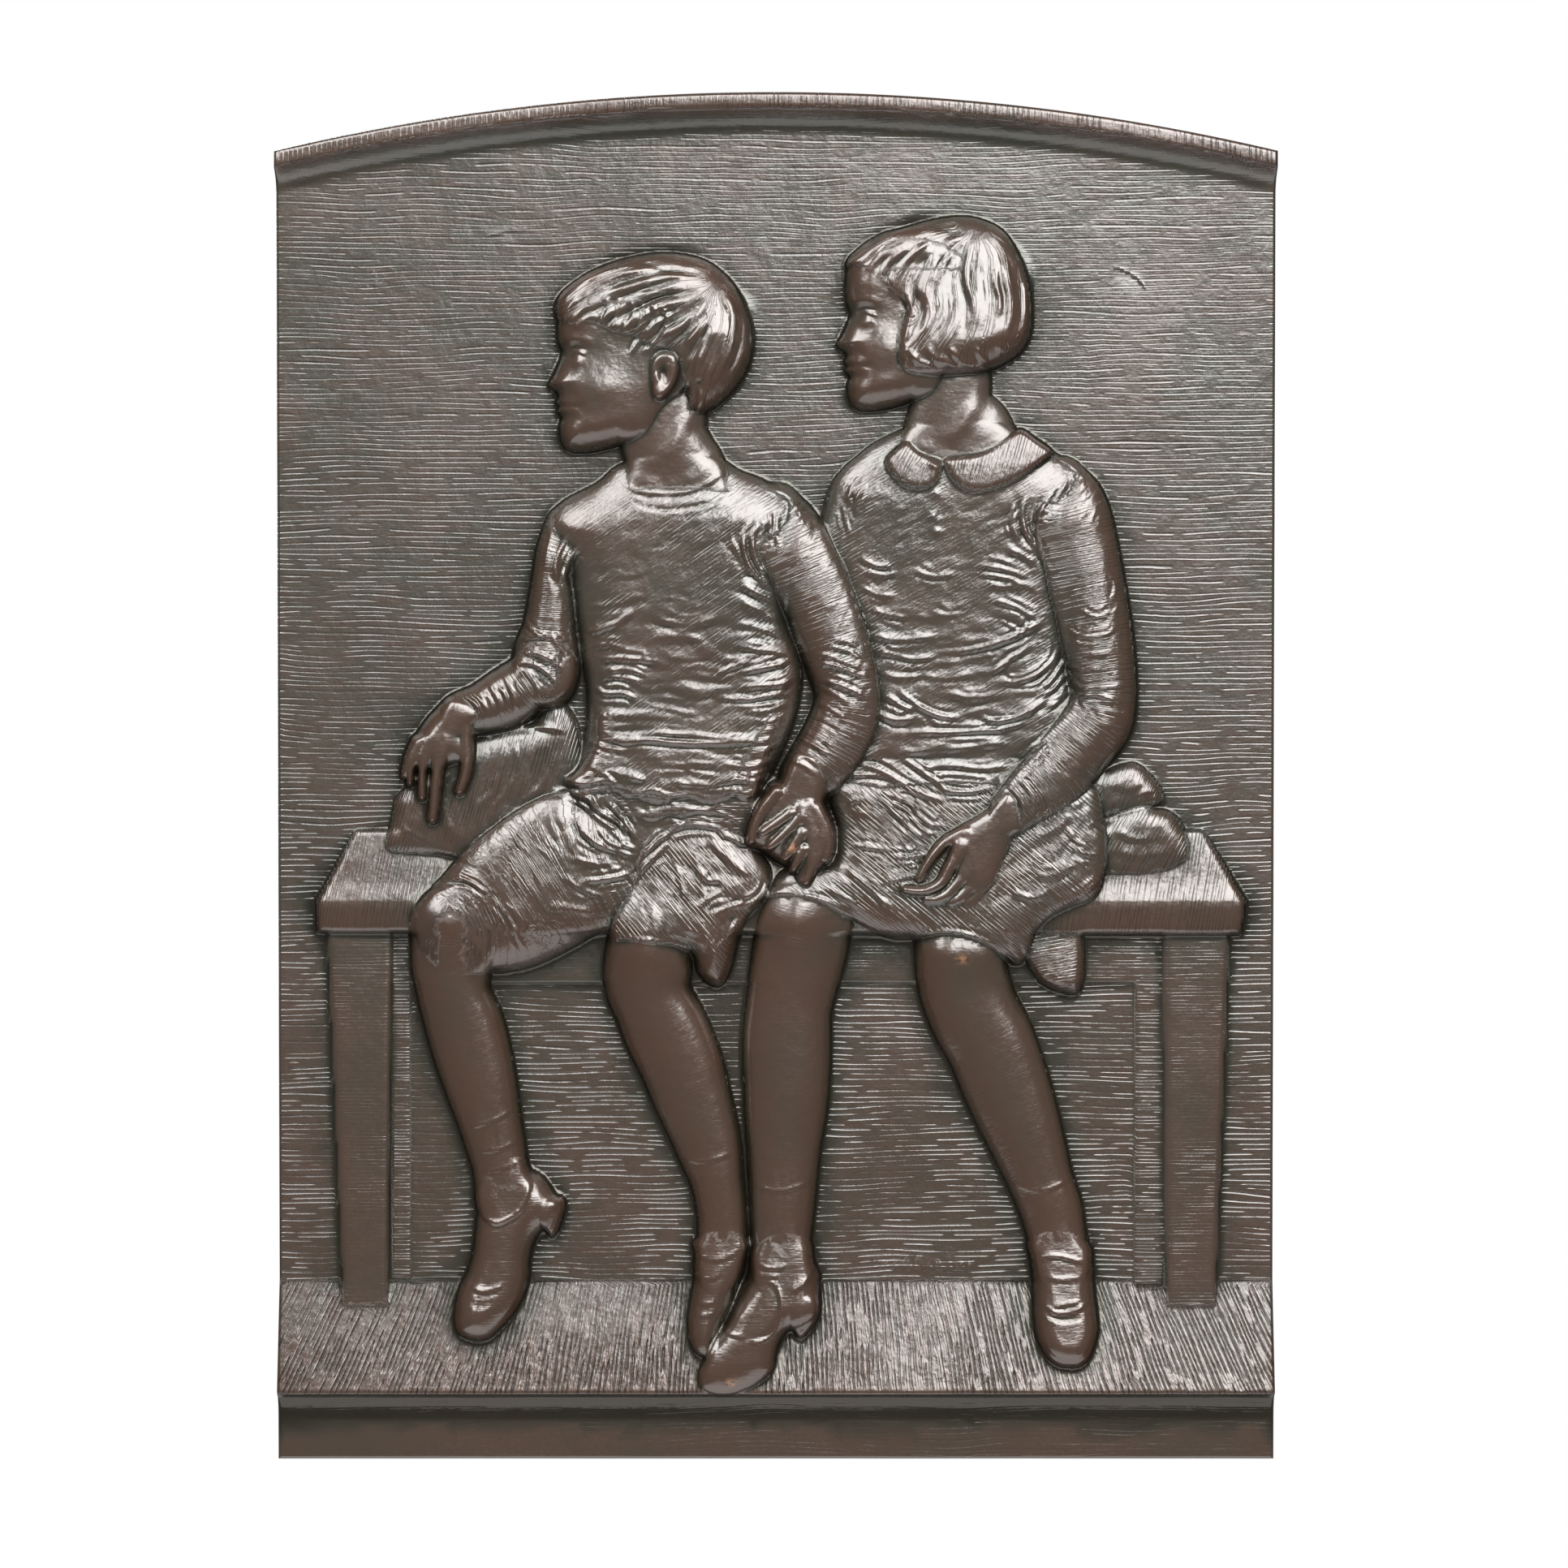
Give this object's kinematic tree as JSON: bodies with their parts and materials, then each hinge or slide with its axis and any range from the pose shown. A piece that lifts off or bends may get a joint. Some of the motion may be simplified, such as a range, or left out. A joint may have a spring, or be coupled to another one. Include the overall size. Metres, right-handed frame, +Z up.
{
  "type": "relief plaque",
  "caption": "Upright bronze relief plaque with a shallow arched top: a boy and a girl sit side by side on a bench, over a sloping floor and a foot moulding; hollow back with a flat flange.",
  "frame": {"origin": "on the back flange, at the middle of the top edge, 10 mm below the arch's crown, where the plaque is fixed to a wall", "axes": "+Z up, +Y out of the back towards the wall, so the carved front faces -Y; +X to the right of someone facing the front"},
  "size_m": [0.446, 0.0312, 0.61],
  "materials": {
    "bronze": "cast bronze, dark brown patina under wax, rubbed lighter on the high points"
  },
  "bodies": {
    "root": {"relief_plaque": "bronze"}
  },
  "joints": []
}
